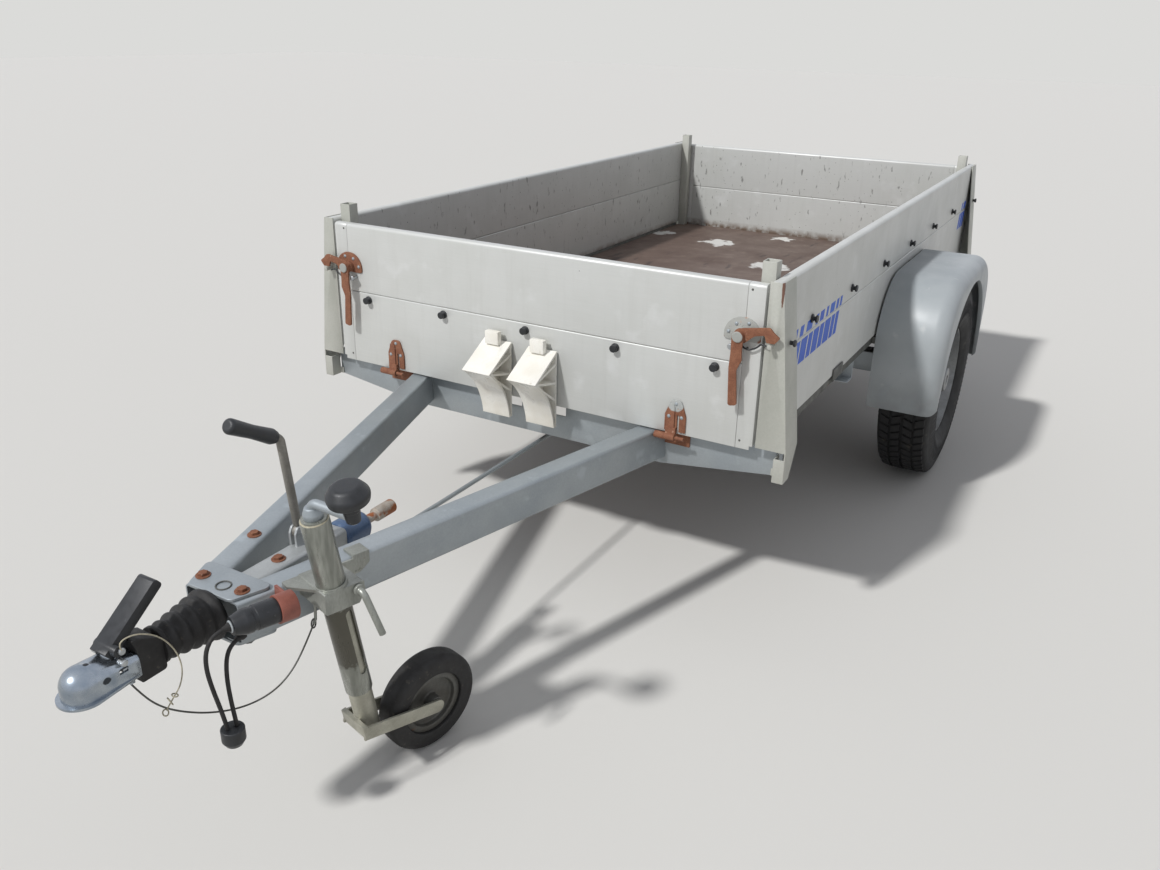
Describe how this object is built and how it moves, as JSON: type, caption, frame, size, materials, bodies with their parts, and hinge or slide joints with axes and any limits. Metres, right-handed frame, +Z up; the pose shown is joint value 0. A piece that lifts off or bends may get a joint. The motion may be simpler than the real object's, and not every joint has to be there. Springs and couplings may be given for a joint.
{
  "type": "single-axle utility trailer with overrun brake",
  "caption": "Open single-axle box trailer with an A-frame drawbar, overrun coupling, jockey wheel, hinged end boards and mudguards.",
  "frame": {"origin": "middle of the trailer's outline, on the ground under it", "axes": "+Z up, -Y towards the coupling, +Y towards the tailgate, +X to the trailer's left side as it is towed"},
  "size_m": [1.6, 3.42, 0.865],
  "materials": {
    "wall_alu": "weathered mill finish",
    "galvanised": "galvanised",
    "dark_steel": "weathered galvanised",
    "rusty_steel": "rusty",
    "silver_housing": "silver paint",
    "blue_zinc": "bright zinc",
    "blue_paint": "blue paint",
    "black_plastic": "matte",
    "black_rubber": "matte",
    "tyre": "matte",
    "rim_silver": "silver paint",
    "guard_grey": "weathered",
    "plywood": "phenolic film",
    "white_plastic": "weathered",
    "red_plastic": "weathered",
    "lamp_red": "gloss"
  },
  "bodies": {
    "chassis": {"drawbar_tube_left": "galvanised", "drawbar_tube_right": "galvanised", "drawbar_plates": "galvanised", "overrun_housing": "silver_housing", "shaft_bellows": "black_rubber", "coupling_head": "blue_zinc", "coupling_handle": "black_plastic", "brake_damper": "blue_paint", "handbrake_strut": "rusty_steel", "handbrake_lever": "dark_steel", "handbrake_grip": "black_plastic", "brake_rod": "galvanised", "cross_members": "galvanised", "side_rails": "galvanised", "side_sills": "dark_steel", "floor_board": "plywood", "corner_post_front_left": "galvanised", "corner_post_front_right": "galvanised", "corner_post_rear_left": "galvanised", "corner_post_rear_right": "galvanised", "side_wall_left": "wall_alu", "side_wall_right": "wall_alu", "side_wall_knobs": "black_plastic", "axle_beam": "galvanised", "axle_arms": "dark_steel", "mudguard_left": "guard_grey", "mudguard_right": "guard_grey", "front_hinge_bases": "rusty_steel", "tailgate_hinge_bases": "rusty_steel", "plug_holder": "red_plastic", "parked_plug": "black_plastic", "rear_lamps": "lamp_red", "brackets": "dark_steel", "jockey_clamp": "galvanised", "clamp_handle": "galvanised", "jockey_outer_tube": "galvanised", "crank_handle": "galvanised", "crank_knob": "black_plastic", "lead_front": "black_rubber", "lead_rear": "black_rubber", "lead_cap": "black_plastic", "breakaway_wire": "dark_steel"},
    "front_board": {"front_board": "wall_alu", "front_board_knobs": "black_plastic", "front_hinge_leaves": "rusty_steel", "front_latches": "rusty_steel", "wheel_chocks": "white_plastic", "chock_holders": "dark_steel"},
    "tailgate": {"tailgate_board": "wall_alu", "tailgate_knobs": "black_plastic", "tailgate_hinge_leaves": "rusty_steel", "tailgate_latches": "rusty_steel"},
    "road_wheel_left": {"tyre_left": "tyre", "rim_left": "rim_silver"},
    "road_wheel_right": {"tyre_right": "tyre", "rim_right": "rim_silver"},
    "jockey_nut": {"jockey_nut": "galvanised"},
    "jockey_leg": {"jockey_leg_fork": "galvanised"},
    "jockey_wheel": {"jockey_tyre": "black_rubber", "jockey_rim": "dark_steel"}
  },
  "joints": [
    {"name": "road_wheel_left_spin", "type": "hinge", "parent": "chassis", "child": "road_wheel_left", "pos_m": [-0.705, 0.713, 0.298], "axis": [1, 0, 0], "continuous": true},
    {"name": "road_wheel_right_spin", "type": "hinge", "parent": "chassis", "child": "road_wheel_right", "pos_m": [0.705, 0.713, 0.298], "axis": [1, 0, 0], "continuous": true},
    {"name": "front_board_hinge", "type": "hinge", "parent": "chassis", "child": "front_board", "pos_m": [0, -0.507, 0.46], "axis": [1, 0, 0], "range_deg": [0, 85]},
    {"name": "tailgate_hinge", "type": "hinge", "parent": "chassis", "child": "tailgate", "pos_m": [0, 1.69, 0.46], "axis": [-1, 0, 0], "range_deg": [0, 165]},
    {"name": "jockey_screw", "type": "slide", "parent": "chassis", "child": "jockey_nut", "axis": [0, -0.1736, 0.9848], "range_m": [-0.15, 0.05]},
    {"name": "jockey_swivel", "type": "hinge", "parent": "jockey_nut", "child": "jockey_leg", "pos_m": [0.16, -1.322, 0.415], "axis": [0, -0.1736, 0.9848], "continuous": true},
    {"name": "jockey_wheel_spin", "type": "hinge", "parent": "jockey_leg", "child": "jockey_wheel", "pos_m": [0.19097, -1.14041, 0.10039], "axis": [0.9703, -0.2382, -0.042], "continuous": true}
  ]
}
